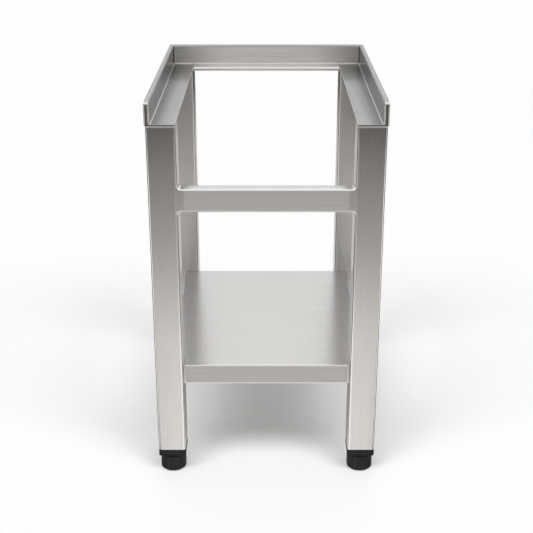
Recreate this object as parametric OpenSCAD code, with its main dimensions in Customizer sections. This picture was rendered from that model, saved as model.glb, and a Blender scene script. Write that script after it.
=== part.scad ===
// Stainless steel stand for an outdoor pizza oven: four square tube legs, folded rails round
// three sides of an open top, a crossbar at the front, a folded shelf below and screw feet.
// The origin is the middle of the footprint on the floor. The front is -Y and up is +Z.

/* [Overall] */
// Width over the outer faces of the legs
frame_w = 480; // [430:5:600]
// Depth over the front faces of the front legs and the rear faces of the rear legs
frame_d = 600; // [500:5:750]
// Height of the top of the rails above the floor, with the feet screwed right in
table_h = 850; // [780:5:950]

/* [Legs] */
// Side of the square leg tube
leg_side = 60; // [52:1:70]
// Wall of the leg tube
leg_wall = 2; // [1.5:0.25:3]
// Outside corner radius of the leg tube
leg_corner_r = 5; // [4:0.5:8]
// Thickness of the plate that closes the top of a leg
cap_t = 3; // [2:0.5:5]

/* [Rails] */
// Thickness of the rail sheet
rail_t = 3; // [2:0.25:3.5]
// Height of the upstand above the top of the flange
upstand_h = 47; // [35:1:60]
// Thickness of the doubled upstand over its two skins
hem_w = 11; // [9:0.5:14]
// Distance that the rails stand out past the outer faces of the legs
rail_proud = 2; // [0.5:0.5:3]
// Inside radius of the rail's bends
rail_bend_r = 2; // [1:0.5:4]
// Reach of the rear flange in front of the rear upstand
rear_flange_w = 44; // [25:1:48]
// Drop of the lip along the front of the rear flange, from the flange's top
rear_lip_h = 9; // [8:0.5:20]
// Gap left where the rear rail meets the side rails
rail_seam = 0.8; // [0.2:0.1:0.9]

/* [Crossbar] */
// Height of the crossbar tube
bar_h = 50; // [30:1:60]
// Depth of the crossbar tube, front to rear
bar_d = 30; // [20:1:40]
// Wall of the crossbar tube
bar_wall = 2; // [1.5:0.25:3]
// Outside corner radius of the crossbar tube
bar_corner_r = 4; // [3.5:0.5:6]
// Height of the underside of the crossbar above the floor
bar_z = 619; // [420:1:680]

/* [Shelf] */
// Height of the top of the shelf above the floor
shelf_z = 258; // [180:1:350]
// Thickness of the shelf sheet
shelf_t = 2; // [1:0.25:2.5]
// Height of the shelf's turned down edges, from the top of the shelf
shelf_lip_h = 46; // [30:1:60]
// Outside radius of the shelf's bends
shelf_bend_r = 3; // [2.75:0.25:5]
// Width of the inward return at the foot of the front and rear edges
shelf_return_w = 12; // [8:1:20]
// Setback of the shelf's front edge behind the front faces of the legs
shelf_setback = 22; // [12:0.5:40]
// Reach of the shelf's rear edge past the front faces of the rear legs
shelf_rear_reach = 6; // [5:0.5:30]
// Reach of the shelf's sides past the inner faces of the legs
shelf_side_reach = 33; // [15:0.5:45]
// Clearance between the shelf sheet and the legs
shelf_gap = 0.8; // [0.2:0.1:0.9]

/* [Shelf stiffener] */
// Thickness of the stiffener sheet
stiffener_t = 1.5; // [1:0.25:2]
// Height of the stiffener below the shelf sheet
stiffener_h = 22; // [12:1:26]
// Width of the stiffener's closed side
stiffener_w = 50; // [30:1:80]
// Width of each of the stiffener's welded flanges
stiffener_flange_w = 15; // [10:1:25]
// Gap between the stiffener's ends and the turned down sides of the shelf
stiffener_end_gap = 3; // [1:0.5:10]

/* [Welds] */
// Size of the weld beads
weld_r = 3.5; // [2:0.5:4]

/* [Feet] */
// Height of the collar that shows under the leg
collar_h = 16; // [10:1:25]
// Length of the plug inside the leg
plug_h = 30; // [24:1:45]
// Clearance between the plug's ribs and the inside of the leg
plug_gap = 0.1; // [0.05:0.05:0.3]
// Depth of the plug's ribs
plug_rib_d = 3; // [1.5:0.5:5]
// Thickness of each of the plug's ribs
plug_rib_t = 2; // [1:0.5:3]
// Number of ribs on the plug
plug_rib_count = 4; // [3:1:5]
// Diameter of the round foot
pad_d = 58; // [45:1:60]
// Height of the round foot
pad_h = 38; // [28:1:50]
// Radius of the edge that meets the floor
pad_bottom_r = 5; // [2:0.5:8]
// Radius of the top edge of the foot
pad_top_r = 2; // [1:0.5:4]
// Thread diameter of the spindle
spindle_d = 12; // [10:1:16]
// Reach of the spindle above the plug's nut, which is what the foot can be screwed out
spindle_travel = 28; // [15:1:40]
// Chamfer on the upper end of the spindle
spindle_chamfer = 1.5; // [0.5:0.5:3]
// Height of the spindle's spanner hexagon, in the gap between foot and collar
hex_h = 3; // [2:0.5:10]
// Width across the flats of the spindle's spanner hexagon
hex_af = 24; // [20:1:32]
// Diameter of the head that holds the spindle in the foot
head_d = 20; // [17:1:26]
// Thickness of that head
head_h = 4; // [3:0.5:8]
// Thickness of the foot below the spindle's head
pad_floor_t = 12; // [6:1:16]
// Width across the flats of the nut
nut_af = 19; // [18:1:24]
// Height of the nut
nut_h = 10; // [8:1:16]
// Depth of the nut above the foot of the plug
nut_inset = 8; // [3:1:12]
// Running clearance, on the radius, round the spindle
run_gap = 0.05; // [0.02:0.01:0.1]
// Clearance, on the radius, of the plug's hole round the spindle
hole_gap = 0.3; // [0.2:0.1:1]

/* [Hidden] */
$fn = 64;
steel = "#b9b7b3";
dark_steel = "#8d8c8a";
black_plastic = "#2b2b2c";

// Which leg: left and front are -1, right and rear are +1
left = -1;
right = 1;
front = -1;
rear = 1;

// How far a cut runs past what it cuts
overrun = 2;

// Heights, from the top down
flange_top_z = table_h - upstand_h;
flange_z = flange_top_z - rail_t;
leg_top_z = flange_z - cap_t;

// Heights, from the floor up
collar_z = pad_h + hex_h;
leg_z = collar_z + collar_h;
nut_z = leg_z + nut_inset;
spindle_top_z = nut_z + nut_h + spindle_travel;

// Legs
leg_x = frame_w / 2 - leg_side / 2;
leg_y = frame_d / 2 - leg_side / 2;
leg_inner_x = frame_w / 2 - leg_side;
leg_inner_y = frame_d / 2 - leg_side;
leg_bore = leg_side - 2 * leg_wall;
leg_bore_r = leg_corner_r - leg_wall;

// Rails
rail_half_w = frame_w / 2 + rail_proud;
rail_h = upstand_h + rail_t;
rail_bend_out_r = rail_bend_r + rail_t;
hem_r = hem_w / 2;
side_flange_end = rail_proud + leg_side;
rear_flange_end = hem_w + rear_flange_w;
rear_flange_half_w = leg_inner_x - rail_seam;
mitre_back = rail_seam * sqrt(2) / 2;

// Shelf
shelf_front_y = shelf_setback - frame_d / 2;
shelf_rear_y = leg_inner_y + shelf_rear_reach;
shelf_wide_y = leg_inner_y - shelf_gap;
shelf_half_w = leg_inner_x + shelf_side_reach;
tongue_half_w = leg_inner_x - shelf_gap;
shelf_under_z = shelf_z - shelf_t;
shelf_lip_z = shelf_z - shelf_lip_h;
stiffener_half_l = shelf_half_w - shelf_t - stiffener_end_gap;

// Rectangle with rounded corners, on its centre
module rounded_rect(w, d, r) {
    square([w - 2 * r, d], center = true);
    square([w, d - 2 * r], center = true);
    for (x = [-1, 1], y = [-1, 1])
        translate([x * (w / 2 - r), y * (d / 2 - r)]) circle(r = r);
}

// End view of a rectangular tube, on its centre
module tube_section(w, d, r, wall) {
    difference() {
        rounded_rect(w, d, r);
        rounded_rect(w - 2 * wall, d - 2 * wall, r - wall);
    }
}

// End view of a quarter bend in sheet, round the origin, in the quadrant that the signs name
module bend_section(out_r, wall, x_sign, y_sign) {
    intersection() {
        difference() {
            circle(r = out_r);
            circle(r = out_r - wall);
        }
        translate([min(x_sign, 0) * out_r, min(y_sign, 0) * out_r]) square([out_r, out_r]);
    }
}

// Sections drawn in x and y, run along Y or along X: their x and y become across and up
module along_y(length) {
    translate([0, length / 2, 0]) rotate([90, 0, 0]) linear_extrude(length) children();
}

module along_x(length) {
    translate([-length / 2, 0, 0]) rotate([90, 0, 90]) linear_extrude(length) children();
}

module at_leg(side, end) {
    translate([side * leg_x, end * leg_y, 0]) children();
}

// Leg: square tube with its corners rolled round
module leg(side, end) {
    color(steel)
        at_leg(side, end)
            translate([0, 0, leg_z])
                linear_extrude(leg_top_z - leg_z) tube_section(leg_side, leg_side, leg_corner_r, leg_wall);
}

// Plate welded over the open top of a leg
module leg_cap(side, end) {
    color(steel)
        at_leg(side, end)
            translate([0, 0, leg_top_z])
                linear_extrude(cap_t) rounded_rect(leg_side, leg_side, leg_corner_r);
}

// Two skins and the roll that joins them: x runs inwards from the outer face, y up from the foot
module upstand_section(outer_foot, inner_foot) {
    translate([0, outer_foot]) square([rail_t, rail_h - hem_r - outer_foot]);
    translate([hem_w - rail_t, inner_foot]) square([rail_t, rail_h - hem_r - inner_foot]);
    translate([hem_r, rail_h - hem_r]) {
        bend_section(hem_r, rail_t, -1, 1);
        bend_section(hem_r, rail_t, 1, 1);
    }
}

// Side rail: doubled upstand, bend and flange with a rounded edge
module side_rail_section() {
    upstand_section(0, rail_bend_out_r);
    translate([hem_w + rail_bend_r, rail_bend_out_r]) bend_section(rail_bend_out_r, rail_t, -1, -1);
    translate([hem_w + rail_bend_r, 0])
        square([side_flange_end - hem_w - rail_bend_r - rail_t / 2, rail_t]);
    translate([side_flange_end - rail_t / 2, rail_t / 2]) circle(d = rail_t);
}

// Plan view of what comes off the rear end of a side rail: its mitre and the end of its flange
module side_rail_end() {
    polygon([
        [-overrun, frame_d / 2 - mitre_back + overrun],
        [hem_w, frame_d / 2 - mitre_back - hem_w],
        [side_flange_end + overrun, frame_d / 2 - mitre_back - hem_w],
        [side_flange_end + overrun, frame_d / 2 + 2 * overrun],
        [-overrun, frame_d / 2 + 2 * overrun]
    ]);
}

module side_rail(side) {
    color(steel)
        mirror([side == right ? 1 : 0, 0, 0])
            translate([-rail_half_w, 0, flange_z])
                difference() {
                    along_y(frame_d) side_rail_section();
                    translate([0, 0, -overrun]) linear_extrude(rail_h + 2 * overrun) side_rail_end();
                }
}

// Rear rail between the side flanges: doubled upstand, bend, flange and turned down lip
module rear_rail_section() {
    upstand_section(0, rail_bend_out_r);
    translate([hem_w + rail_bend_r, rail_bend_out_r]) bend_section(rail_bend_out_r, rail_t, -1, -1);
    translate([hem_w + rail_bend_r, 0])
        square([rear_flange_end - hem_w - rail_bend_r - rail_bend_out_r, rail_t]);
    translate([rear_flange_end - rail_bend_out_r, -rail_bend_r]) bend_section(rail_bend_out_r, rail_t, 1, 1);
    translate([rear_flange_end - rail_t, rail_t - rear_lip_h])
        square([rail_t, rear_lip_h - rail_bend_out_r]);
}

// Plan view of what the mitre takes off one end of the rear rail, from the end inwards
module rear_rail_mitre() {
    polygon([
        [-overrun, mitre_back + overrun],
        [hem_w + overrun, mitre_back - hem_w - overrun],
        [hem_w + overrun, mitre_back - hem_w - 2 * overrun],
        [-overrun, mitre_back - hem_w - 2 * overrun]
    ]);
}

// Ends of the rear upstand beyond its flange, where the inner skin stands on the leg tops
module rear_rail_skins() {
    mirror([0, 1, 0]) along_x(2 * rail_half_w) upstand_section(0, rail_bend_out_r);
    for (side = [0, 1])
        mirror([side, 0, 0])
            translate([-rail_half_w, -hem_w, 0])
                cube([rail_half_w - rear_flange_half_w, rail_t, rail_bend_out_r]);
}

module rear_rail() {
    color(steel)
        translate([0, frame_d / 2, flange_z]) {
            difference() {
                rear_rail_skins();
                for (side = [0, 1])
                    mirror([side, 0, 0])
                        translate([-rail_half_w, 0, -overrun])
                            linear_extrude(rail_h + 2 * overrun) rear_rail_mitre();
            }
            mirror([0, 1, 0]) along_x(2 * rear_flange_half_w) rear_rail_section();
        }
}

// Crossbar: rectangular tube between the front legs, flush with their front faces
module front_crossbar() {
    color(steel)
        translate([0, (bar_d - frame_d) / 2, bar_z + bar_h / 2])
            along_x(2 * leg_inner_x) tube_section(bar_d, bar_h, bar_corner_r, bar_wall);
}

// End view of a weld bead in a corner, in the quadrant that the signs name
module bead_section(x_sign, y_sign) {
    bend_section(weld_r, weld_r, x_sign, y_sign);
}

// Plan view of the weld that fills the rounded corner of a leg level with the crossbar's front
module weld_fill_section() {
    fill_w = leg_corner_r - leg_wall / 2;
    difference() {
        square([fill_w, fill_w]);
        translate([leg_corner_r, leg_corner_r]) circle(r = leg_corner_r);
    }
}

// Beads round both ends of the crossbar, and the filled corners in front
module crossbar_welds() {
    color(dark_steel)
        for (side = [0, 1])
            mirror([side, 0, 0])
                translate([leg_inner_x, 0, 0]) {
                    translate([0, -frame_d / 2, bar_z + bar_corner_r])
                        linear_extrude(bar_h - 2 * bar_corner_r) weld_fill_section();
                    translate([0, bar_d - frame_d / 2, bar_z + bar_corner_r])
                        linear_extrude(bar_h - 2 * bar_corner_r) bead_section(-1, 1);
                    translate([0, bar_d / 2 - frame_d / 2, bar_z + bar_h])
                        along_y(bar_d - 2 * bar_corner_r - leg_corner_r) bead_section(-1, 1);
                    translate([0, bar_d / 2 - frame_d / 2, bar_z])
                        along_y(bar_d - 2 * bar_corner_r - leg_corner_r) bead_section(-1, -1);
                }
}

// Turned down edge of the shelf: x runs inwards from its face, y up from its foot
module shelf_edge_section(return_w) {
    foot = return_w > 0 ? shelf_bend_r : 0;
    translate([shelf_bend_r, shelf_lip_h - shelf_bend_r]) bend_section(shelf_bend_r, shelf_t, -1, 1);
    translate([0, foot]) square([shelf_t, shelf_lip_h - shelf_bend_r - foot]);
    if (return_w > 0) {
        translate([shelf_bend_r, shelf_bend_r]) bend_section(shelf_bend_r, shelf_t, -1, -1);
        translate([shelf_bend_r, 0]) square([return_w - shelf_bend_r, shelf_t]);
    }
}

// Plan view of the flat of the shelf, with tongues between the front legs and the rear legs
module shelf_flat() {
    square([2 * (shelf_half_w - shelf_bend_r), 2 * shelf_wide_y], center = true);
    translate([-tongue_half_w, shelf_front_y + shelf_bend_r])
        square([2 * tongue_half_w, shelf_rear_y - shelf_front_y - 2 * shelf_bend_r]);
}

// Shelf: one sheet folded down along all four sides, notched round the legs
module shelf() {
    color(steel) {
        translate([0, 0, shelf_under_z]) linear_extrude(shelf_t) shelf_flat();
        translate([0, shelf_front_y, shelf_lip_z])
            along_x(2 * tongue_half_w) shelf_edge_section(shelf_return_w);
        translate([0, shelf_rear_y, shelf_lip_z])
            mirror([0, 1, 0]) along_x(2 * tongue_half_w) shelf_edge_section(shelf_return_w);
        for (side = [0, 1])
            mirror([side, 0, 0])
                translate([-shelf_half_w, 0, shelf_lip_z])
                    along_y(2 * shelf_wide_y) shelf_edge_section(0);
    }
}

// Stiffener: top hat section welded under the middle of the shelf, from side to side
module shelf_stiffener() {
    color(steel)
        translate([0, 0, shelf_under_z])
            along_x(2 * stiffener_half_l)
                for (side = [0, 1])
                    mirror([side, 0]) {
                        translate([0, -stiffener_h]) square([stiffener_w / 2, stiffener_t]);
                        translate([stiffener_w / 2 - stiffener_t, -stiffener_h])
                            square([stiffener_t, stiffener_h]);
                        translate([stiffener_w / 2 - stiffener_t, -stiffener_t])
                            square([stiffener_flange_w + stiffener_t, stiffener_t]);
                    }
}

// Upright beads that hold the ends of the shelf's front and rear edges to the legs
module shelf_welds() {
    bead_h = shelf_lip_h - 2 * shelf_bend_r;
    color(dark_steel)
        for (side = [0, 1])
            mirror([side, 0, 0])
                translate([leg_inner_x, 0, shelf_lip_z + shelf_bend_r]) {
                    translate([0, shelf_front_y, 0]) linear_extrude(bead_h) bead_section(-1, -1);
                    translate([0, shelf_rear_y, 0]) linear_extrude(bead_h) bead_section(-1, 1);
                }
}

// Collar and ribbed plug of the foot, moulded round the nut
module foot_insert(side, end) {
    rib_pitch = plug_h / plug_rib_count;
    core = leg_bore - 2 * (plug_gap + plug_rib_d);
    color(black_plastic)
        at_leg(side, end)
            difference() {
                union() {
                    translate([0, 0, collar_z])
                        linear_extrude(collar_h) rounded_rect(leg_side, leg_side, leg_corner_r);
                    translate([0, 0, leg_z])
                        linear_extrude(plug_h) rounded_rect(core, core, leg_bore_r);
                    for (rib = [1 : plug_rib_count])
                        translate([0, 0, leg_z + rib * rib_pitch - plug_rib_t])
                            linear_extrude(plug_rib_t)
                                rounded_rect(leg_bore - 2 * plug_gap, leg_bore - 2 * plug_gap, leg_bore_r);
                }
                translate([0, 0, collar_z - overrun])
                    cylinder(h = collar_h + plug_h + 2 * overrun, r = spindle_d / 2 + hole_gap);
                translate([0, 0, nut_z]) cylinder(h = nut_h, d = nut_af / cos(30), $fn = 6);
            }
}

// Hexagon nut held in the plug
module foot_nut(side, end) {
    color(dark_steel)
        at_leg(side, end)
            translate([0, 0, nut_z])
                difference() {
                    cylinder(h = nut_h, d = nut_af / cos(30), $fn = 6);
                    translate([0, 0, -overrun])
                        cylinder(h = nut_h + 2 * overrun, r = spindle_d / 2 + run_gap);
                }
}

// Threaded spindle, with the hexagon that turns it and the head that holds it in the foot
module foot_spindle(side, end) {
    color(dark_steel)
        at_leg(side, end) {
            translate([0, 0, pad_floor_t])
                cylinder(h = spindle_top_z - spindle_chamfer - pad_floor_t, d = spindle_d);
            translate([0, 0, spindle_top_z - spindle_chamfer])
                cylinder(h = spindle_chamfer, d1 = spindle_d, d2 = spindle_d - 2 * spindle_chamfer);
            translate([0, 0, pad_floor_t]) cylinder(h = head_h, d = head_d);
            translate([0, 0, pad_h]) cylinder(h = hex_h, d = hex_af / cos(30), $fn = 6);
        }
}

// Half section of the foot, with the socket for the spindle's head
module foot_pad_section() {
    pad_r = pad_d / 2;
    difference() {
        union() {
            square([pad_r - pad_bottom_r, pad_h]);
            translate([0, pad_bottom_r]) square([pad_r, pad_h - pad_bottom_r - pad_top_r]);
            square([pad_r - max(pad_top_r, pad_bottom_r), pad_h]);
            translate([0, pad_h / 2]) square([pad_r - pad_top_r, pad_h / 2]);
            translate([pad_r - pad_bottom_r, pad_bottom_r]) circle(r = pad_bottom_r);
            translate([pad_r - pad_top_r, pad_h - pad_top_r]) circle(r = pad_top_r);
        }
        translate([0, pad_floor_t]) square([head_d / 2 + run_gap, head_h + run_gap]);
        translate([0, pad_floor_t]) square([spindle_d / 2 + run_gap, pad_h]);
    }
}

// Round foot that stands on the floor
module foot_pad(side, end) {
    color(black_plastic) at_leg(side, end) rotate_extrude() foot_pad_section();
}

leg(left, front);  // leg_front_left
leg(right, front);  // leg_front_right
leg(left, rear);  // leg_rear_left
leg(right, rear);  // leg_rear_right
leg_cap(left, front);  // leg_cap_front_left
leg_cap(right, front);  // leg_cap_front_right
leg_cap(left, rear);  // leg_cap_rear_left
leg_cap(right, rear);  // leg_cap_rear_right
side_rail(left);  // side_rail_left
side_rail(right);  // side_rail_right
rear_rail();
front_crossbar();
crossbar_welds();
shelf();
shelf_stiffener();
shelf_welds();
foot_insert(left, front);  // foot_insert_front_left
foot_insert(right, front);  // foot_insert_front_right
foot_insert(left, rear);  // foot_insert_rear_left
foot_insert(right, rear);  // foot_insert_rear_right
foot_nut(left, front);  // foot_nut_front_left
foot_nut(right, front);  // foot_nut_front_right
foot_nut(left, rear);  // foot_nut_rear_left
foot_nut(right, rear);  // foot_nut_rear_right
foot_spindle(left, front);  // foot_spindle_front_left
foot_spindle(right, front);  // foot_spindle_front_right
foot_spindle(left, rear);  // foot_spindle_rear_left
foot_spindle(right, rear);  // foot_spindle_rear_right
foot_pad(left, front);  // foot_pad_front_left
foot_pad(right, front);  // foot_pad_front_right
foot_pad(left, rear);  // foot_pad_rear_left
foot_pad(right, rear);  // foot_pad_rear_right
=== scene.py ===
import math

import bmesh
import bpy
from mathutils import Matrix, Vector


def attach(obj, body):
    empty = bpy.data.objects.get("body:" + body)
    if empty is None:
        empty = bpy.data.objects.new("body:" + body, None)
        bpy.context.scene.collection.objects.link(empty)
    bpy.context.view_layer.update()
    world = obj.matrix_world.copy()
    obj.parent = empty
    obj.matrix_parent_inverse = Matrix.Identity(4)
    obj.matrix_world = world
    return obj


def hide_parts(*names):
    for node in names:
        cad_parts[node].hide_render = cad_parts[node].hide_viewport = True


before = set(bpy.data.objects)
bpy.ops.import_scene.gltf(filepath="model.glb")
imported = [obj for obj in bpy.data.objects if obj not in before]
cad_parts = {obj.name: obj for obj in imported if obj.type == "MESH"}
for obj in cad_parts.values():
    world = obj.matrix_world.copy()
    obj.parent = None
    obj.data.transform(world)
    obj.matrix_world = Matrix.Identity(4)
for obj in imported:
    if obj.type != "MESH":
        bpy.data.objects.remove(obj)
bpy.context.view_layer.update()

scene = bpy.context.scene

# Camera: stands in front of the stand's middle line and looks down on it by 21 degrees.
# The small shift puts the object at the height in the frame that the photograph gives it.
camera_data = bpy.data.cameras.new("front_camera")
camera_data.sensor_width = 36.0
camera_data.lens = 69.36
camera_data.shift_y = -0.06
camera = bpy.data.objects.new("front_camera", camera_data)
camera.location = (0.0, -2.263, 1.3296)
camera.rotation_euler = (math.radians(90.0 - 21.11), 0.0, 0.0)
scene.collection.objects.link(camera)
scene.camera = camera
scene.view_settings.view_transform = "Standard"


# Studio paper: a pale matt sheet, with a slight sheen near the stand that mirrors the feet faintly.
# It keeps the shadow and runs out into plain white. For metal its colour is painted with the light
# of a real sweep, dark towards the camera.
def linear(hex_colour):
    """The linear colour of an sRGB hex value."""
    parts = [int(hex_colour[i:i + 2], 16) / 255 for i in (1, 3, 5)]
    return [p / 12.92 if p <= 0.04045 else ((p + 0.055) / 1.055) ** 2.4 for p in parts] + [1.0]


def add(tree, kind, sockets=None, **settings):
    """Adds a node with its settings, and sets each socket to a value or links it to an output."""
    node = tree.nodes.new(kind)
    for name, value in settings.items():
        setattr(node, name, value)
    for name, value in (sockets or {}).items():
        if isinstance(value, bpy.types.NodeSocket):
            tree.links.new(value, node.inputs[name])
        else:
            node.inputs[name].default_value = value
    return node


def ramp(tree, factor, stops):
    """Adds a ramp of greys: stops are pairs of place and linear grey."""
    node = add(tree, "ShaderNodeValToRGB", {"Fac": factor})
    elements = node.color_ramp.elements
    while len(elements) < len(stops):
        elements.new(0.5)
    for element, (place, grey) in zip(elements, stops):
        element.position = place
        element.color = (grey, grey, grey, 1.0)
    return node.outputs["Color"]


def clear_material(name):
    """A new material with only its output node."""
    material = bpy.data.materials.new(name)
    material.use_nodes = True
    material.node_tree.nodes.clear()
    output = material.node_tree.nodes.new("ShaderNodeOutputMaterial")
    return material, material.node_tree, output


paper, tree, output = clear_material("studio_paper")
rays = add(tree, "ShaderNodeLightPath")
seen = add(tree, "ShaderNodeMath", {0: rays.outputs["Is Camera Ray"],
                                    1: rays.outputs["Is Transmission Ray"]}, operation="MAXIMUM")
place = add(tree, "ShaderNodeTexCoord").outputs["Object"]
# The sweep's painted light is darkest round a point 3.6 m in front of the stand, and fades far from the
# stand.
from_dark = add(tree, "ShaderNodeMapping", {"Vector": place, "Location": (0.0, 3.6, 0.0),
                                            "Scale": (1.3, 1.0, 1.0)})
reach = add(tree, "ShaderNodeVectorMath", {0: from_dark.outputs["Vector"]}, operation="LENGTH")
share = add(tree, "ShaderNodeMath", {0: reach.outputs["Value"], 1: 6.0}, operation="DIVIDE")
sweep = ramp(tree, share.outputs["Value"], [(0.05, 0.42), (0.15, 0.45), (0.22, 0.33), (0.34, 0.54),
                                            (0.45, 0.95), (0.52, 1.04), (1.0, 1.0)])
far = add(tree, "ShaderNodeVectorMath", {0: place}, operation="LENGTH")
tenth = add(tree, "ShaderNodeMath", {0: far.outputs["Value"], 1: 10.0}, operation="DIVIDE")
fade = ramp(tree, tenth.outputs["Value"], [(0.24, 1.0), (0.34, 0.26), (0.55, 0.22), (0.75, 0.8),
                                           (1.0, 0.8)])
sweep = add(tree, "ShaderNodeVectorMath", {0: sweep, 1: fade}, operation="MULTIPLY")
# Pale and dark strips of painted light and shade fan out round the stand, so that the tubes' sides mirror
# one or the other.
plan = add(tree, "ShaderNodeSeparateXYZ", {"Vector": place})
aside = add(tree, "ShaderNodeMath", {0: plan.outputs["X"]}, operation="ABSOLUTE")
aside = add(tree, "ShaderNodeMath", {0: aside.outputs[0], 1: 0.2}, operation="SUBTRACT")
aside = add(tree, "ShaderNodeMath", {0: aside.outputs[0], 1: 0.0}, operation="MAXIMUM")
ahead = add(tree, "ShaderNodeMath", {0: -0.2, 1: plan.outputs["Y"]}, operation="SUBTRACT")
turn = add(tree, "ShaderNodeMath", {0: aside.outputs[0], 1: ahead.outputs[0]}, operation="ARCTAN2")
turn = add(tree, "ShaderNodeMath", {0: turn.outputs[0], 1: math.pi}, operation="DIVIDE")
bands = ramp(tree, turn.outputs[0], [(0.0, 1.0), (0.085, 1.0), (0.11, 0.12), (0.2, 0.12), (0.23, 1.1),
                                     (0.49, 1.1), (0.53, 0.06), (0.62, 0.06), (0.68, 0.32), (0.90, 0.32),
                                     (0.955, 1.0), (1.0, 1.0)])
sweep = add(tree, "ShaderNodeVectorMath", {0: sweep.outputs["Vector"], 1: bands}, operation="MULTIPLY")
sweep = add(tree, "ShaderNodeVectorMath", {0: sweep.outputs["Vector"], 1: (1.0, 0.97, 0.94)},
            operation="MULTIPLY")
tone = add(tree, "ShaderNodeMix", {"Factor": rays.outputs["Is Glossy Ray"], "A": linear("#f0f0f0"),
                                   "B": sweep.outputs["Vector"]}, data_type="RGBA")
glow = add(tree, "ShaderNodeMath", {0: seen.outputs["Value"], 1: 0.13}, operation="MULTIPLY")
sheen = add(tree, "ShaderNodeMapRange", {"Value": far.outputs["Value"], "From Min": 0.45, "From Max": 0.9,
                                         "To Min": 0.12, "To Max": 0.0})
sheet = add(tree, "ShaderNodeBsdfPrincipled", {"Base Color": tone.outputs["Result"],
                                               "Roughness": 0.35,
                                               "Specular IOR Level": sheen.outputs["Result"],
                                               "Emission Color": (1.0, 1.0, 1.0, 1.0),
                                               "Emission Strength": glow.outputs["Value"]})
beyond = add(tree, "ShaderNodeMapRange", {"Value": far.outputs["Value"], "From Min": 1.5, "From Max": 4.0},
             interpolation_type="SMOOTHSTEP")
beyond = add(tree, "ShaderNodeMath", {0: beyond.outputs["Result"], 1: seen.outputs["Value"]},
             operation="MULTIPLY")
plain = add(tree, "ShaderNodeEmission", {"Color": linear("#fdfdfd"), "Strength": 1.0})
surface = add(tree, "ShaderNodeMixShader", {0: beyond.outputs["Value"], 1: sheet.outputs["BSDF"],
                                            2: plain.outputs["Emission"]})
tree.links.new(surface.outputs["Shader"], output.inputs["Surface"])
floor_mesh = bmesh.new()
bmesh.ops.create_grid(floor_mesh, x_segments=1, y_segments=1, size=14.0)
floor_data = bpy.data.meshes.new("studio_floor")
floor_mesh.to_mesh(floor_data)
floor_mesh.free()
floor = bpy.data.objects.new("studio_floor", floor_data)
floor_data.materials.append(paper)
scene.collection.objects.link(floor)

# Studio air: white to the camera, an even fill for matt surfaces, and for metal two cloths, a
# graded one behind the stand and a plainer one over the camera.
world = bpy.data.worlds.new("studio_air")
world.use_nodes = True
scene.world = world
tree = world.node_tree
tree.nodes.clear()
rays = add(tree, "ShaderNodeLightPath")
seen = add(tree, "ShaderNodeMath", {0: rays.outputs["Is Camera Ray"],
                                    1: rays.outputs["Is Transmission Ray"]}, operation="MAXIMUM")
heading = add(tree, "ShaderNodeTexCoord").outputs["Generated"]
height = add(tree, "ShaderNodeSeparateXYZ", {"Vector": heading}).outputs["Z"]
rear_cloth = ramp(tree, height, [(0.0, 0.6), (0.08, 0.6), (0.13, 0.34), (0.185, 0.42), (0.215, 0.78),
                                 (0.24, 0.74), (0.275, 0.46), (0.33, 1.02), (0.42, 1.75), (0.6, 1.5),
                                 (0.75, 0.85), (1.0, 0.8)])
front_cloth = ramp(tree, height, [(0.0, 0.4), (0.5, 0.4), (0.7, 1.0), (0.9, 1.0), (1.0, 0.8)])
depth = add(tree, "ShaderNodeSeparateXYZ", {"Vector": heading}).outputs["Y"]
side = add(tree, "ShaderNodeMapRange", {"Value": depth, "From Min": -0.3, "From Max": 0.3})
cloth = add(tree, "ShaderNodeMix", {"Factor": side.outputs["Result"], "A": front_cloth,
                                    "B": rear_cloth}, data_type="RGBA")
fill = add(tree, "ShaderNodeBackground", {"Color": (1.0, 1.0, 1.0, 1.0), "Strength": 0.31})
mirrored = add(tree, "ShaderNodeBackground", {"Color": cloth.outputs["Result"], "Strength": 1.0})
white = add(tree, "ShaderNodeBackground", {"Color": linear("#fdfdfd"), "Strength": 1.0})
lit = add(tree, "ShaderNodeMixShader", {0: rays.outputs["Is Glossy Ray"], 1: fill.outputs[0],
                                        2: mirrored.outputs[0]})
air = add(tree, "ShaderNodeMixShader", {0: seen.outputs["Value"], 1: lit.outputs[0],
                                        2: white.outputs[0]})
add(tree, "ShaderNodeOutputWorld", {"Surface": air.outputs[0]})

# Overhead softboxes: four soft lamps in a row from left to right, slightly in front. Together they
# leave a soft shadow under the shelf that is darkest in the middle, and hardly any beside the legs.
for number, lean in enumerate((-30.0, -13.0, 13.0, 30.0)):
    lamp_data = bpy.data.lights.new(f"softbox_{number}", "SUN")
    lamp_data.energy = 0.628
    lamp_data.angle = math.radians(24.0)
    lamp = bpy.data.objects.new(f"softbox_{number}", lamp_data)
    lamp.rotation_euler = (math.radians(24.0), math.radians(lean), 0.0)
    lamp.visible_glossy = False
    scene.collection.objects.link(lamp)


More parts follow.
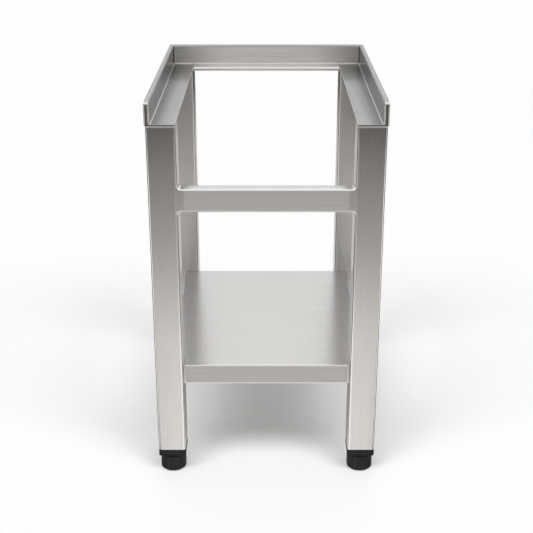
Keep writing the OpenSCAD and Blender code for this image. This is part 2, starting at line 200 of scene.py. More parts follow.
# Legs: square stainless tube, 60 x 60 x 2 mm with rolled corners, cut square and brushed lengthwise.
# Each stands on its foot insert and is closed on top by a welded plate.
def brushed_stainless(name, grain, steel="#d6d5d4", roughness=0.20, streaks=0.08, corners=None):
    """Stainless steel brushed with an abrasive belt along grain (x, y or z): satin, with long fine
    scratches that spread its reflections across the grain. Belt scratches are 0.05 mm wide; they
    are drawn 0.7 mm wide here, with streaks 3 mm wide between them, so that they show. With
    corners, the sheet is painted darker, as painted shade, from one distance off the middle plane
    to another, to a share."""
    material, tree, output = clear_material(name)
    across = {"x": (0, 1, 1), "y": (1, 0, 1), "z": (1, 1, 0)}[grain]
    place = add(tree, "ShaderNodeTexCoord").outputs["Object"]

    def scratches(width, length):
        """Noise drawn out along the grain."""
        scale = [1 / width if a else 1 / length for a in across]
        spread = add(tree, "ShaderNodeMapping", {"Vector": place, "Scale": scale})
        return add(tree, "ShaderNodeTexNoise", {"Vector": spread.outputs["Vector"], "Scale": 1.0,
                                                "Detail": 3.0, "Roughness": 0.6}).outputs["Fac"]

    fine = scratches(0.0007, 0.080)
    broad = scratches(0.003, 0.300)
    dark = [c * (1 - streaks) for c in linear(steel)[:3]] + [1.0]
    light = [min(1.0, c * (1 + streaks)) for c in linear(steel)[:3]] + [1.0]
    both = add(tree, "ShaderNodeMath", {0: fine, 1: broad}, operation="ADD")
    tone = add(tree, "ShaderNodeMapRange", {"Value": both.outputs[0], "From Min": 0.7, "From Max": 1.3})
    colour = add(tree, "ShaderNodeMix", {"Factor": tone.outputs["Result"], "A": dark, "B": light},
                 data_type="RGBA")
    colour = colour.outputs["Result"]
    if corners:
        start, stop, share = corners
        aside = add(tree, "ShaderNodeSeparateXYZ", {"Vector": place}).outputs["X"]
        aside = add(tree, "ShaderNodeMath", {0: aside}, operation="ABSOLUTE")
        shade = add(tree, "ShaderNodeMapRange", {"Value": aside.outputs[0], "From Min": start,
                                                 "From Max": stop, "To Min": 1.0, "To Max": share},
                    interpolation_type="SMOOTHSTEP")
        colour = add(tree, "ShaderNodeVectorMath", {0: colour, "Scale": shade.outputs["Result"]},
                     operation="SCALE").outputs["Vector"]
    satin = add(tree, "ShaderNodeMapRange", {"Value": both.outputs[0], "From Min": 0.7, "From Max": 1.3,
                                             "To Min": roughness - 0.02, "To Max": roughness + 0.02})
    bump = add(tree, "ShaderNodeBump", {"Height": fine, "Strength": 0.12, "Distance": 0.00001})
    facing = add(tree, "ShaderNodeNewGeometry").outputs["Normal"]
    along = [0.0 if a else 1.0 for a in across]
    turned = add(tree, "ShaderNodeVectorMath", {0: along, 1: facing}, operation="CROSS_PRODUCT")
    steel_surface = add(tree, "ShaderNodeBsdfPrincipled", {
        "Base Color": colour, "Metallic": 1.0, "Roughness": satin.outputs["Result"],
        "Anisotropic": 0.8, "Specular Tint": (0.72, 0.72, 0.72, 1.0), "Tangent": turned.outputs["Vector"],
        "Normal": bump.outputs["Normal"]})
    tree.links.new(steel_surface.outputs["BSDF"], output.inputs["Surface"])
    return material


def burnished_stainless(name):
    """Bends and rounded edges of the same steel: the belt only touches them, so they stay smooth,
    with faint clouds 6 mm wide, and mirror the room as thin lines. Their pale colour is painted
    highlight that makes these lines brighter."""
    material, tree, output = clear_material(name)
    place = add(tree, "ShaderNodeTexCoord").outputs["Object"]
    cloud = add(tree, "ShaderNodeTexNoise", {"Vector": place, "Scale": 1 / 0.006, "Detail": 2.0})
    tone = add(tree, "ShaderNodeMix", {"Factor": cloud.outputs["Fac"], "A": linear("#f1f0ef"),
                                       "B": linear("#faf9f8")}, data_type="RGBA")
    shine = add(tree, "ShaderNodeMapRange", {"Value": cloud.outputs["Fac"], "To Min": 0.10,
                                             "To Max": 0.18})
    skin = add(tree, "ShaderNodeBsdfPrincipled", {"Base Color": tone.outputs["Result"], "Metallic": 1.0,
                                                  "Specular Tint": (0.85, 0.85, 0.85, 1.0),
                                                  "Roughness": shine.outputs["Result"]})
    tree.links.new(skin.outputs["BSDF"], output.inputs["Surface"])
    return material


def soften(mesh, radius, steps, chosen, index=None):
    """Rounds the chosen edges. Without an index, roundings of 0.6 to 5 mm get the burnished steel with its
    painted highlight.
    """
    mesh.normal_update()
    edges = [e for e in mesh.edges if chosen(e)]
    made = bmesh.ops.bevel(mesh, geom=edges, offset=radius, segments=steps, profile=0.5, affect="EDGES",
                           material=-1, clamp_overlap=True)["faces"]
    if index is None:
        index = 1 if 0.0005 < radius < 0.0053 else 0
    for f in made:
        f.material_index = index


def sharp(edge):
    """Whether two faces meet at this edge at more than 50 degrees."""
    return len(edge.link_faces) == 2 and edge.calc_face_angle(0.0) > math.radians(50.0)


def runs(edge, axis):
    """Whether an edge runs along one axis."""
    way = (edge.verts[1].co - edge.verts[0].co).normalized()
    return abs(way["xyz".index(axis)]) > 0.999


def block(mesh, low, high):
    """Adds a box between two corners and returns its vertices."""
    low, high = Vector(low), Vector(high)
    made = bmesh.ops.create_cube(mesh, size=1.0)["verts"]
    bmesh.ops.scale(mesh, vec=high - low, verts=made)
    bmesh.ops.translate(mesh, vec=(low + high) / 2, verts=made)
    return made


def piece_from(name, mesh, *materials):
    """Makes a mesh an object with smooth shading that stays flat on its flat faces."""
    bmesh.ops.dissolve_degenerate(mesh, edges=mesh.edges, dist=0.000001)
    mesh.normal_update()
    for f in mesh.faces:
        f.material_index = min(f.material_index, len(materials) - 1)
    data = bpy.data.meshes.new(name)
    mesh.to_mesh(data)
    mesh.free()
    data.shade_smooth()
    for material in materials:
        data.materials.append(material)
    piece = bpy.data.objects.new(name, data)
    scene.collection.objects.link(piece)
    shading = piece.modifiers.new("flat_faces", "WEIGHTED_NORMAL")
    shading.keep_sharp = True
    shading.weight = 50
    return piece


def thicken(mesh, thickness):
    """Gives a sheet its thickness on the side away from its face normals."""
    mesh.normal_update()
    bmesh.ops.solidify(mesh, geom=mesh.faces[:], thickness=thickness)


tube_steel = brushed_stainless("brushed_stainless_tube", "z")
edge_highlight_steel = burnished_stainless("burnished_stainless_edge_painted_highlight")
# The tubes' rounded corners get a darker steel: painted dark reflection lines along each corner.
painted_shade_steel = brushed_stainless("painted_shade_stainless", "z", "#8b8987", 0.30, 0.04)
leg_side, leg_wall, leg_corner = 0.060, 0.002, 0.005
leg_foot_z, leg_head_z = 0.057, 0.797
ends = {"front_left": (-0.210, -0.270), "front_right": (0.210, -0.270),
        "rear_left": (-0.210, 0.270), "rear_right": (0.210, 0.270)}
for end, (x, y) in ends.items():
    half = leg_side / 2
    tube = bmesh.new()
    block(tube, (x - half, y - half, leg_foot_z), (x + half, y + half, leg_head_z))
    tube.normal_update()
    caps = [f for f in tube.faces if abs(f.normal.z) > 0.5]
    bmesh.ops.delete(tube, geom=caps, context="FACES_ONLY")
    soften(tube, leg_corner, 8, lambda e: runs(e, "z"))
    tube.normal_update()
    # The middle of each rounded corner is painted darker, as a dark reflection line.
    for f in tube.faces:
        if min(abs(f.normal.x), abs(f.normal.y)) > 0.5:
            f.material_index = 2
    thicken(tube, leg_wall)
    soften(tube, 0.0004, 2, sharp)
    leg = piece_from(f"leg_tube_{end}", tube, tube_steel, edge_highlight_steel, painted_shade_steel)
    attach(leg, "frame")
    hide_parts(f"leg_{end}")

# Leg tops: 3 mm stainless plates welded over the open tubes, their edges ground round and given
# the burnished steel with its painted highlight, so that a bright line shows under the flange.
plate_steel = brushed_stainless("ground_stainless_plate", "x")
plate_top = 0.800
for end, (x, y) in ends.items():
    half = leg_side / 2
    plate = bmesh.new()
    block(plate, (x - half, y - half, leg_head_z), (x + half, y + half, plate_top))
    soften(plate, leg_corner, 8, lambda e: runs(e, "z"))
    soften(plate, 0.0012, 3, lambda e: sharp(e) and min(v.co.z for v in e.verts) > plate_top - 0.001)
    soften(plate, 0.0003, 1, lambda e: sharp(e) and e.verts[0].co.z < leg_head_z + 0.001)
    cap = piece_from(f"leg_top_{end}", plate, plate_steel, edge_highlight_steel)
    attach(cap, "frame")
    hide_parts(f"leg_cap_{end}")

# Side rails: 3 mm stainless sheet folded over into a doubled upstand with a rolled top, then turned
# inwards as the flange that carries the oven. Brushed along the depth, mitred at the rear corner,
# its front end ground smooth with a rounded top corner.
rail_x, rail_front, rail_rear = 0.242, -0.300, 0.300
rail_foot, flange_top, rail_top, flange_x = 0.800, 0.803, 0.850, 0.180
hem, sheet_t = 0.011, 0.003
mitre_y, flange_end, roll_foot = 0.2999, 0.2884, 0.8446


def folded(points, way, stops):
    """A sheet with the section that points give, drawn out through the stops along one axis."""
    mesh = bmesh.new()
    corners = [mesh.verts.new(p) for p in points]
    line = [mesh.edges.new(pair) for pair in zip(corners, corners[1:])]
    for start, stop in zip(stops, stops[1:]):
        drawn = bmesh.ops.extrude_edge_only(mesh, edges=line)["geom"]
        moved = [g for g in drawn if isinstance(g, bmesh.types.BMVert)]
        bmesh.ops.translate(mesh, vec=Vector(way) * (stop - start), verts=moved)
        fresh = set(moved)
        line = [e for e in mesh.edges if e.verts[0] in fresh and e.verts[1] in fresh]
    return mesh


def near(value, target):
    """Whether two lengths are the same within a hair."""
    return abs(value - target) < 0.00002


def fold_edge(edge, axis, **where):
    """Whether an edge runs along axis and lies at the given coordinates."""
    middle = (edge.verts[0].co + edge.verts[1].co) / 2
    return runs(edge, axis) and all(near(getattr(middle, k), v) for k, v in where.items())


def face_up(mesh, chosen, wanted):
    """Turns the sheet over if the first chosen face doesn't look the wanted way."""
    mesh.normal_update()
    sample = next(f for f in mesh.faces if chosen(f))
    if sample.normal.dot(Vector(wanted)) < 0:
        bmesh.ops.reverse_faces(mesh, faces=mesh.faces[:])


def nose(height):
    """How far the rounded front corner of an upstand lies back at a height."""
    corner_r, corner_foot = 0.007, 0.843
    rise = min(max(height - corner_foot, 0.0), corner_r * 0.8)
    return corner_r - math.sqrt(corner_r ** 2 - rise ** 2)


# The side sheets are painted darker towards the outside, as painted shade near the upstands, and their cut
# front ends are ground pale.
rail_steel = brushed_stainless("brushed_stainless_side_sheet", "y", "#e6e5e4", 0.25,
                               corners=(0.188, 0.226, 0.72))
cut_steel = brushed_stainless("ground_stainless_cut_edge", "x", "#f4f3f2", 0.50, 0.04)
for side in ("left", "right"):
    outer, inner = -rail_x, -(rail_x - hem)
    rail = folded([(outer, rail_front, rail_foot), (outer, rail_front, rail_top),
                   (inner, rail_front, rail_top), (inner, rail_front, flange_top),
                   (-flange_x, rail_front, flange_top)], (0, 1, 0), (rail_front, rail_rear))
    face_up(rail, lambda f: near(f.calc_center_median().z, flange_top), (0, 0, 1))
    soften(rail, hem / 2 - 0.00001, 8, lambda e: fold_edge(e, "y", z=rail_top), 1)
    soften(rail, 0.003, 6, lambda e: fold_edge(e, "y", x=inner, z=flange_top))
    bmesh.ops.remove_doubles(rail, verts=rail.verts, dist=0.00004)
    for v in rail.verts:
        depth = rail_x - abs(v.co.x)
        if v.co.y > 0:
            v.co.y = mitre_y - depth if depth < hem + 0.00001 else flange_end
        elif v.co.z > roll_foot:
            v.co.y += 0.0010 + nose(v.co.z)
    thicken(rail, sheet_t)
    soften(rail, 0.0024, 5, lambda e: sharp(e) and runs(e, "y") and near(e.verts[0].co.x, -flange_x)
           and near(e.verts[0].co.z, flange_top))
    soften(rail, 0.0014, 4, lambda e: sharp(e) and max(v.co.y for v in e.verts) < rail_front + 0.001)
    soften(rail, 0.0004, 2, sharp)
    rail.normal_update()
    # Front end faces get the pale ground steel; those below the flange top get the darker steel, as painted
    # shadow of the gap above the leg top.
    for f in rail.faces:
        middle = f.calc_center_median()
        if middle.y < rail_front + 0.0016 and f.normal.y < -0.1:
            f.material_index = 3 if f.normal.z < 0.3 and middle.z < flange_top else 2
    if side == "right":
        bmesh.ops.scale(rail, vec=(-1, 1, 1), verts=rail.verts)
        bmesh.ops.reverse_faces(rail, faces=rail.faces)
    side_rail = piece_from(f"side_rail_sheet_{side}", rail, rail_steel, edge_highlight_steel, cut_steel,
                           painted_shade_steel)
    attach(side_rail, "frame")
    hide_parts(f"side_rail_{side}")

# Rear rail: the same doubled upstand, with a narrower flange between the side flanges and its
# front edge turned down. Brushed left to right. Its inner skin stands on the rear legs' tops.
flange_half, lip_foot, lip_y, bend = 0.1792, 0.794, 0.245, 0.002
split_z, skin_x, mitre_x = 0.8440, 0.2290, 0.2419
# The rear sheet is a paler copy of the steel, as painted light, and is painted darker towards its corners,
# as painted shade; its roll is painted a little darker all along, as painted shade.
rear_steel = brushed_stainless("brushed_stainless_rear_sheet", "x", "#f2f0ee", 0.42, 0.12,
                               (0.10, 0.228, 0.68))
roll_steel = brushed_stainless("brushed_stainless_rear_roll", "x", "#c6c5c4", 0.32)
rail = folded([(-rail_x, rail_rear, rail_foot), (-rail_x, rail_rear, rail_top),
               (-rail_x, rail_rear - hem, rail_top), (-rail_x, rail_rear - hem, flange_top),
               (-rail_x, lip_y, flange_top), (-rail_x, lip_y, lip_foot)],
              (1, 0, 0), (-rail_x, -flange_half, flange_half, rail_x))
face_up(rail, lambda f: near(f.calc_center_median().z, flange_top), (0, 0, 1))
soften(rail, hem / 2 - 0.00001, 8, lambda e: fold_edge(e, "x", z=rail_top), 2)
soften(rail, bend, 5, lambda e: fold_edge(e, "x", y=rail_rear - hem, z=flange_top))
soften(rail, 0.005, 6, lambda e: fold_edge(e, "x", y=lip_y, z=flange_top))
bmesh.ops.remove_doubles(rail, verts=rail.verts, dist=0.00004)
bmesh.ops.bisect_plane(rail, geom=rail.verts[:] + rail.edges[:] + rail.faces[:],
                       plane_co=(0, 0, split_z), plane_no=(0, 0, 1))
# The flange ends between the side flanges; the inner skin goes on down to the leg tops.
past = [f for f in rail.faces if abs(f.calc_center_median().x) > flange_half
        and f.calc_center_median().y < rail_rear - hem - 0.0001]
bmesh.ops.delete(rail, geom=past, context="FACES")
hanging = [e for e in rail.edges if len(e.link_faces) == 1
           and fold_edge(e, "x", y=rail_rear - hem, z=flange_top + bend)]
drawn = bmesh.ops.extrude_edge_only(rail, edges=hanging)["geom"]
bmesh.ops.translate(rail, vec=(0, 0, rail_foot - flange_top - bend),
                    verts=[g for g in drawn if isinstance(g, bmesh.types.BMVert)])
# Below the roll the inner skin is cut square; the rest is mitred.
for v in rail.verts:
    if abs(v.co.x) > flange_half + 0.001:
        inner_skin = near(v.co.y, rail_rear - hem) and v.co.z < split_z + 0.0001
        v.co.x = math.copysign(skin_x if inner_skin else mitre_x - (rail_rear - v.co.y), v.co.x)
thicken(rail, sheet_t)
soften(rail, 0.0006, 2, sharp)
rear_rail = piece_from("rear_rail_sheet", rail, rear_steel, edge_highlight_steel, roll_steel)
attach(rear_rail, "frame")
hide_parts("rear_rail")

# Crossbar: rectangular stainless tube, 50 x 30 x 2 mm, brushed left to right, welded between the
# front legs. The welds run into both tubes as a rounded throat and are ground flush in front.
bar_low, bar_high, throat, inner_x = 0.619, 0.669, 0.006, 0.180
bar_front, bar_rear, bar_round, root_x, weld_end_x = -0.300, -0.270, 0.005, 0.1852, 0.167
bar = bmesh.new()
quarter = [(root_x, bar_high + throat), (inner_x, bar_high + throat), (inner_x, bar_high)]
upper = quarter + [(-x, z) for x, z in reversed(quarter)]
outline = upper + [(x, bar_low + bar_high - z) for x, z in reversed(upper)]
front = bar.faces.new([bar.verts.new((x, bar_front, z)) for x, z in outline])
drawn = bmesh.ops.extrude_face_region(bar, geom=[front])["geom"]
bmesh.ops.translate(bar, vec=(0, bar_rear - bar_front, 0),
                    verts=[g for g in drawn if isinstance(g, bmesh.types.BMVert)])
bmesh.ops.recalc_face_normals(bar, faces=bar.faces)
soften(bar, throat, 6, lambda e: runs(e, "y") and near(abs(e.verts[0].co.x), inner_x)
       and bar_low - 0.001 < e.verts[0].co.z < bar_high + 0.001)
bmesh.ops.remove_doubles(bar, verts=bar.verts, dist=0.00001)
soften(bar, bar_round, 6, lambda e: near(e.verts[0].co.y, e.verts[1].co.y)
       and max(abs(v.co.x) for v in e.verts) < inner_x + 0.00002)
for s in (-1, 1):
    bmesh.ops.bisect_plane(bar, geom=bar.verts[:] + bar.edges[:] + bar.faces[:],
                           plane_co=(s * weld_end_x, 0, 0), plane_no=(1, 0, 0))
bar.normal_update()
for f in bar.faces:
    middle = f.calc_center_median()
    if middle.z <= 0.64:
        f.material_index = 0
    if abs(middle.x) > weld_end_x and f.normal.y < -0.9:
        f.material_index = 2
# The ground ends are a shade paler than the bar, and only its upper edges get the burnished steel
# with its painted highlight.
weld_steel = brushed_stainless("ground_stainless_weld", "z", "#e9e7e5", 0.30, 0.06)
bar_steel = brushed_stainless("brushed_stainless_crossbar", "x", "#dfdedd", 0.32)
crossbar = piece_from("crossbar_tube", bar, bar_steel, edge_highlight_steel, weld_steel)
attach(crossbar, "frame")
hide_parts("front_crossbar")


# Hidden welds of the crossbar: concave stainless beads in the corners behind it, where the tube
# meets the legs. They are left as welded.
def ground_fillet(mesh, corner, along, side_a, side_b, reach):
    """A concave weld in a corner: it runs along a line and reaches a little way out on both sides."""
    corner, side_a, side_b = (Vector(v) for v in (corner, side_a, side_b))
    centre = corner + (side_a + side_b) * reach
    section = [corner]
    for step in range(7):
        angle = math.radians(15.0 * step)
        section.append(centre - (side_b * math.cos(angle) + side_a * math.sin(angle)) * reach)
    end = mesh.faces.new([mesh.verts.new(point) for point in section])
    drawn = bmesh.ops.extrude_face_region(mesh, geom=[end])["geom"]
    moved = [g for g in drawn if isinstance(g, bmesh.types.BMVert)]
    bmesh.ops.translate(mesh, vec=along, verts=moved)
    bmesh.ops.recalc_face_normals(mesh, faces=list({f for v in moved for f in v.link_faces} | {end}))


beads = bmesh.new()
for s in (-1, 1):
    ground_fillet(beads, (s * inner_x, bar_rear, bar_low + 0.003), (0, 0, bar_high - bar_low - 0.006),
                  (-s, 0, 0), (0, 1, 0), 0.0035)
bar_welds = piece_from("crossbar_rear_welds", beads, weld_steel)
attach(bar_welds, "frame")
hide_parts("crossbar_welds")

# Rail welds: the corners where the side rails meet the rear rail are welded inside and ground to
# a small hollow. At the front end of each side rail a blob of weld closes the roll, and a tab of
# dark sheet closes the slot below it; its dark tone is painted shade of the slot.
roll_x, blob_r, blob_foot, blob_middle, blob_top = 0.2365, 0.0053, 0.8432, 0.8445, 0.8498
# The tab's dull dark steel is painted shade of the slot behind it.
painted_shade_tab_steel = brushed_stainless("painted_shade_stainless_tab", "x", "#9a9591", 0.50, 0.04)
seams = bmesh.new()
for s in (-1, 1):
    ground_fillet(seams, (s * 0.2292, 0.289, flange_top), (0, 0, 0.041), (-s, 0, 0), (0, -1, 0), 0.0022)
    ground_fillet(seams, (s * 0.1805, 0.289, flange_top), (s * 0.0505, 0, 0), (0, -1, 0), (0, 0, 1),
                  0.0024)
    block(seams, (s * roll_x - blob_r, -0.2998, blob_foot), (s * roll_x + blob_r, -0.290, blob_top))
    for step in range(1, 14):
        level = blob_foot + (blob_top - blob_foot) * (1 - (1 - step / 14) ** 2)
        blob = [f for f in seams.faces if f.calc_center_median().y < -0.28
                and f.calc_center_median().x * s > 0]
        cut = dict.fromkeys(part for f in blob for part in (f, *f.edges, *f.verts))
        bmesh.ops.bisect_plane(seams, geom=list(cut), plane_co=(0, 0, level), plane_no=(0, 0, 1))
    for v in seams.verts:
        if v.co.y < -0.28 and v.co.x * s > 0:
            rise = min(max(v.co.z - blob_middle, 0.0), blob_r * 0.985)
            v.co.x = s * roll_x + (v.co.x - s * roll_x) * math.sqrt(1 - (rise / blob_r) ** 2)
            v.co.y += nose(v.co.z) if v.co.y < -0.295 else 0.0
for f in seams.faces:
    f.material_index = 1 if f.calc_center_median().y < 0 else 0
for s in (-1, 1):
    tab = block(seams, (s * roll_x - 0.0027, -0.2955, 0.8004), (s * roll_x + 0.0027, -0.2935, 0.8436))
    for f in {f for v in tab for f in v.link_faces}:
        f.material_index = 2
rail_welds = piece_from("rail_corner_welds", seams, weld_steel, edge_highlight_steel, painted_shade_tab_steel)
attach(rail_welds, "frame")

# Shelf: one stainless sheet, 2 mm, notched round the four legs and folded down along its sides,
# with a return at the foot of the front and rear edges. Brushed left to right.
deck_z, lip_low, return_w, deck_t, fold = 0.258, 0.212, 0.012, 0.002, 0.003
deck_x, tongue_x, wide_y, deck_front, deck_rear = 0.213, 0.1792, 0.2392, -0.278, 0.246
cross_steel = brushed_stainless("brushed_stainless_cross_sheet", "x", roughness=0.32)
# The folded edges are painted a shade darker than the deck, as painted shade.
lip_steel = brushed_stainless("brushed_stainless_shelf_lip", "x", "#c3c2c1", 0.36)
deck = bmesh.new()
bmesh.ops.create_grid(deck, x_segments=3, y_segments=3, size=1.0)
columns, rows = (-deck_x, -tongue_x, tongue_x, deck_x), (deck_front, -wide_y, wide_y, deck_rear)
for v in deck.verts:
    v.co = (columns[round((v.co.x + 1) * 1.5)], rows[round((v.co.y + 1) * 1.5)], deck_z)
notches = [f for f in deck.faces if abs(f.calc_center_median().x) > tongue_x
           and abs(f.calc_center_median().y) > wide_y]
bmesh.ops.delete(deck, geom=notches, context="FACES")
turned_down = ((deck_front, "y", (0, 1, 0), return_w), (deck_rear, "y", (0, -1, 0), return_w),
               (-deck_x, "x", (1, 0, 0), 0), (deck_x, "x", (-1, 0, 0), 0))
for at, axis, inward, foot in turned_down:
    line = [e for e in deck.edges if len(e.link_faces) == 1
            and all(near(getattr(v.co, axis), at) and near(v.co.z, deck_z) for v in e.verts)]
    for step in ((0, 0, lip_low - deck_z), Vector(inward) * foot):
        if Vector(step).length > 0:
            drawn = bmesh.ops.extrude_edge_only(deck, edges=line)["geom"]
            moved = [g for g in drawn if isinstance(g, bmesh.types.BMVert)]
            bmesh.ops.translate(deck, vec=step, verts=moved)
            line = [g for g in drawn if isinstance(g, bmesh.types.BMEdge)
                    and g.verts[0] in moved and g.verts[1] in moved]
bmesh.ops.recalc_face_normals(deck, faces=deck.faces)
face_up(deck, lambda f: near(f.calc_center_median().z, deck_z), (0, 0, 1))
soften(deck, fold, 6, sharp)
thicken(deck, deck_t)
soften(deck, 0.0003, 2, sharp)
deck.normal_update()
# The large upright faces of the folds get the darker steel, as painted shade.
for f in deck.faces:
    if abs(f.normal.z) < 0.1 and f.calc_area() > 0.0005:
        f.material_index = 2
shelf = piece_from("shelf_sheet", deck, cross_steel, edge_highlight_steel, lip_steel)
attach(shelf, "frame")
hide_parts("shelf")

# Shelf welds: upright concave beads of stainless that hold the ends of the shelf's front and rear
# edges to the legs. They are left as welded.
beads = bmesh.new()
for s in (-1, 1):
    for y, way in ((deck_front, -1), (deck_rear, 1)):
        ground_fillet(beads, (s * inner_x, y, lip_low + 0.003), (0, 0, deck_z - lip_low - 0.006),
                      (-s, 0, 0), (0, way, 0), 0.0035)
shelf_welds = piece_from("shelf_edge_welds", beads, weld_steel)
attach(shelf_welds, "frame")
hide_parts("shelf_welds")

# Shelf stiffener: a top hat section folded of stainless sheet, spot welded under the middle of the
# shelf. Its solid is right as it is and only gets its steel.
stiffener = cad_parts["shelf_stiffener"].data
stiffener.materials.clear()
stiffener.materials.append(cross_steel)


# Foot inserts: black glass-filled nylon. The collar shows between the leg and the round foot and
# is as wide as the leg; the ribbed plug is hammered into the tube.
def moulded_nylon(name, colour="#202022"):
    """Black nylon moulded in a spark-eroded tool: matt, with a fine grain of 0.4 mm that breaks up
    its highlights. The grain is drawn 0.8 mm wide so that it shows."""
    material, tree, output = clear_material(name)
    place = add(tree, "ShaderNodeTexCoord").outputs["Object"]
    grain = add(tree, "ShaderNodeTexNoise", {"Vector": place, "Scale": 1 / 0.0008, "Detail": 2.0})
    cloud = add(tree, "ShaderNodeTexNoise", {"Vector": place, "Scale": 1 / 0.012, "Detail": 2.0})
    dark, light = linear(colour), [c * 1.5 for c in linear(colour)[:3]] + [1.0]
    tone = add(tree, "ShaderNodeMix", {"Factor": cloud.outputs["Fac"], "A": dark, "B": light},
               data_type="RGBA")
    rough = add(tree, "ShaderNodeMapRange", {"Value": grain.outputs["Fac"], "To Min": 0.48,
                                             "To Max": 0.62})
    bump = add(tree, "ShaderNodeBump", {"Height": grain.outputs["Fac"], "Strength": 0.2,
                                        "Distance": 0.00004})
    nylon = add(tree, "ShaderNodeBsdfPrincipled", {"Base Color": tone.outputs["Result"], "IOR": 1.53,
                                                   "Specular IOR Level": 0.14,
                                                   "Roughness": rough.outputs["Result"],
                                                   "Normal": bump.outputs["Normal"]})
    tree.links.new(nylon.outputs["BSDF"], output.inputs["Surface"])
    return material


nylon = moulded_nylon("black_moulded_nylon")
collar_foot, plug_head = 0.041, 0.087
plug_half, rib_half, rib_step, rib_height = 0.0255, 0.0278, 0.0075, 0.002
for end, (x, y) in ends.items():
    insert = bmesh.new()
    half = leg_side / 2
    block(insert, (x - half, y - half, collar_foot), (x + half, y + half, leg_foot_z))
    soften(insert, leg_corner, 8, lambda e: runs(e, "z"))
    soften(insert, 0.0022, 4, lambda e: sharp(e) and max(v.co.z for v in e.verts) < collar_foot + 0.0001)
    soften(insert, 0.0006, 2, lambda e: sharp(e) and min(v.co.z for v in e.verts) > leg_foot_z - 0.0001)
    plug = bmesh.new()
    block(plug, (x - plug_half, y - plug_half, leg_foot_z - 0.001),
          (x + plug_half, y + plug_half, plug_head))
    for rib in range(4):
        top = leg_foot_z + (rib + 1) * rib_step
        block(plug, (x - rib_half, y - rib_half, top - rib_height), (x + rib_half, y + rib_half, top))
    soften(plug, 0.003, 4, lambda e: runs(e, "z"))
    plug_data = bpy.data.meshes.new("plug")
    plug.to_mesh(plug_data)
    plug.free()
    insert.from_mesh(plug_data)
    bpy.data.meshes.remove(plug_data)
    collar = piece_from(f"foot_insert_body_{end}", insert, nylon)
    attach(collar, "frame")
    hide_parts(f"foot_insert_{end}")


# Foot nuts: hexagon nuts of zinc-plated steel, moulded into the plugs and hidden in the legs. Their
# solids are right as they are and only get their plating.
def zinc_plate(name):
    """Bright zinc plating on turned steel: blueish, slightly cloudy, with a soft shine."""
    material, tree, output = clear_material(name)
    place = add(tree, "ShaderNodeTexCoord").outputs["Object"]
    cloud = add(tree, "ShaderNodeTexNoise", {"Vector": place, "Scale": 1 / 0.004, "Detail": 3.0})
    tone = add(tree, "ShaderNodeMix", {"Factor": cloud.outputs["Fac"], "A": linear("#b9bcc2"),
                                       "B": linear("#d9dbdf")}, data_type="RGBA")
    rough = add(tree, "ShaderNodeMapRange", {"Value": cloud.outputs["Fac"], "To Min": 0.22,
                                             "To Max": 0.42})
    zinc = add(tree, "ShaderNodeBsdfPrincipled", {"Base Color": tone.outputs["Result"], "Metallic": 1.0,
                                                  "Roughness": rough.outputs["Result"]})
    tree.links.new(zinc.outputs["BSDF"], output.inputs["Surface"])
    return material


zinc = zinc_plate("zinc_plated_steel")
for end in ends:
    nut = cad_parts[f"foot_nut_{end}"].data
    nut.materials.clear()
    nut.materials.append(zinc)

# Spindles: M12 screws of zinc-plated steel. A hexagon for a spanner sits on the round foot and a
# head below turns in the foot's socket. The thread shows when a foot is screwed out.
pitch, turns, round_steps = 0.00175, 34, 24
crest, root, core, thread_foot = 0.00595, 0.0050, 0.0052, 0.0415
head_r, hexagon_r = 0.00905, 0.012 / math.cos(math.pi / 6)
shafts = ((head_r, 0.0122, 0.0160, 32), (crest, 0.0155, 0.0385, 24),
          (hexagon_r, 0.0382, 0.0410, 6), (core, 0.0405, 0.1025, 20))
for end, (x, y) in ends.items():
    thread = bmesh.new()
    wire = [thread.verts.new((x + r, y, thread_foot + h * pitch))
            for r, h in ((root, 0.0), (crest, 0.42), (crest, 0.58), (root, 1.0))]
    line = [thread.edges.new(pair) for pair in zip(wire, wire[1:])]
    bmesh.ops.spin(thread, geom=wire + line, cent=(x, y, 0), axis=(0, 0, 1), angle=math.tau * turns,
                   dvec=(0, 0, pitch / round_steps), steps=turns * round_steps, use_duplicate=False)
    bmesh.ops.remove_doubles(thread, verts=thread.verts, dist=0.00002)
    bmesh.ops.holes_fill(thread, edges=thread.edges, sides=0)
    bmesh.ops.recalc_face_normals(thread, faces=thread.faces)
    for radius, low, high, sides in shafts:
        made = bmesh.ops.create_cone(thread, cap_ends=True, segments=sides, radius1=radius,
                                     radius2=radius, depth=high - low)["verts"]
        bmesh.ops.translate(thread, vec=(x, y, (low + high) / 2), verts=made)
    soften(thread, 0.0004, 1, lambda e: sharp(e) and e.calc_length() > 0.008)
    screw = piece_from(f"foot_screw_{end}", thread, zinc)
    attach(screw, f"spindle_{end}")
    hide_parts(f"foot_spindle_{end}")

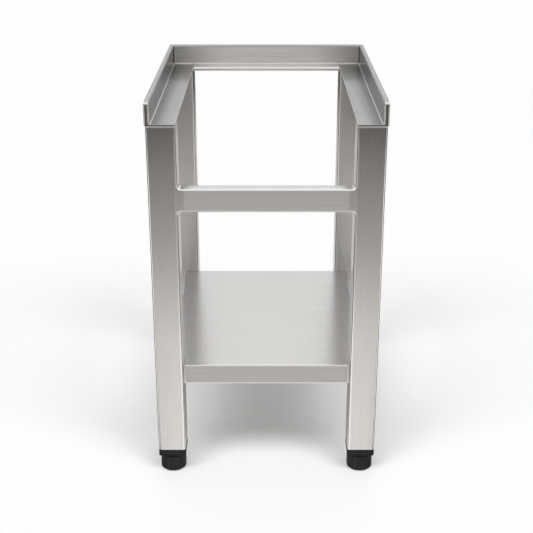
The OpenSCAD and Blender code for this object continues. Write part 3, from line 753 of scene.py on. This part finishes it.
# Round feet: black nylon cups, 58 mm across and 38 mm high, moulded with eight shallow grip flats
# and a rounded foot. Each holds the head of its screw in a socket.
ridge_highlight_nylon = moulded_nylon("black_nylon_painted_ridge_highlight", "#2a2a2c")
foot_r, foot_top, socket_r, hole_r = 0.029, 0.038, 0.0103, 0.0064
flat_share, flat_from = 0.026, 0.020
for end, (x, y) in ends.items():
    cup = bmesh.new()
    section = [(0.0, 0.0), (foot_r, 0.0), (foot_r, foot_top), (hole_r, foot_top), (hole_r, 0.0162),
               (socket_r, 0.0162), (socket_r, 0.012), (0.0, 0.012)]
    wire = [cup.verts.new((r, 0, z)) for r, z in section]
    line = [cup.edges.new(pair) for pair in zip(wire, wire[1:])]
    bmesh.ops.spin(cup, geom=wire + line, cent=(0, 0, 0), axis=(0, 0, 1), angle=math.tau, steps=96,
                   use_merge=True, use_duplicate=False)
    bmesh.ops.remove_doubles(cup, verts=cup.verts, dist=0.00001)
    bmesh.ops.recalc_face_normals(cup, faces=cup.faces)
    rim = foot_r - 0.0001
    soften(cup, 0.005, 6, lambda e: all(v.co.xy.length > rim and v.co.z < 0.001 for v in e.verts))
    soften(cup, 0.002, 4, lambda e: all(v.co.xy.length > rim and v.co.z > foot_top - 0.001 for v in e.verts))
    soften(cup, 0.0008, 2,
           lambda e: all(v.co.xy.length < hole_r + 0.0002 and v.co.z > foot_top - 0.001 for v in e.verts))
    for v in cup.verts:
        out = v.co.xy.length
        if out > flat_from:
            turn = math.atan2(v.co.y, v.co.x)
            flatness = abs(math.cos(4 * turn)) * (out - flat_from) / (foot_r - flat_from)
            v.co.xy *= 1 - flat_share * flatness
    # The ridges between the flats are painted a little paler, as a painted highlight.
    for f in cup.faces:
        middle = f.calc_center_median()
        turn = math.degrees(math.atan2(middle.y, middle.x)) % 45
        painted_ridge_highlight = 0.003 < middle.z < 0.0365 and middle.xy.length > 0.024 and abs(turn - 22.5) < 3.0
        f.material_index = 1 if painted_ridge_highlight else 0
    bmesh.ops.translate(cup, vec=(x, y, 0), verts=cup.verts)
    foot = piece_from(f"round_foot_{end}", cup, nylon, ridge_highlight_nylon)
    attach(foot, f"pad_{end}")
    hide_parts(f"foot_pad_{end}")
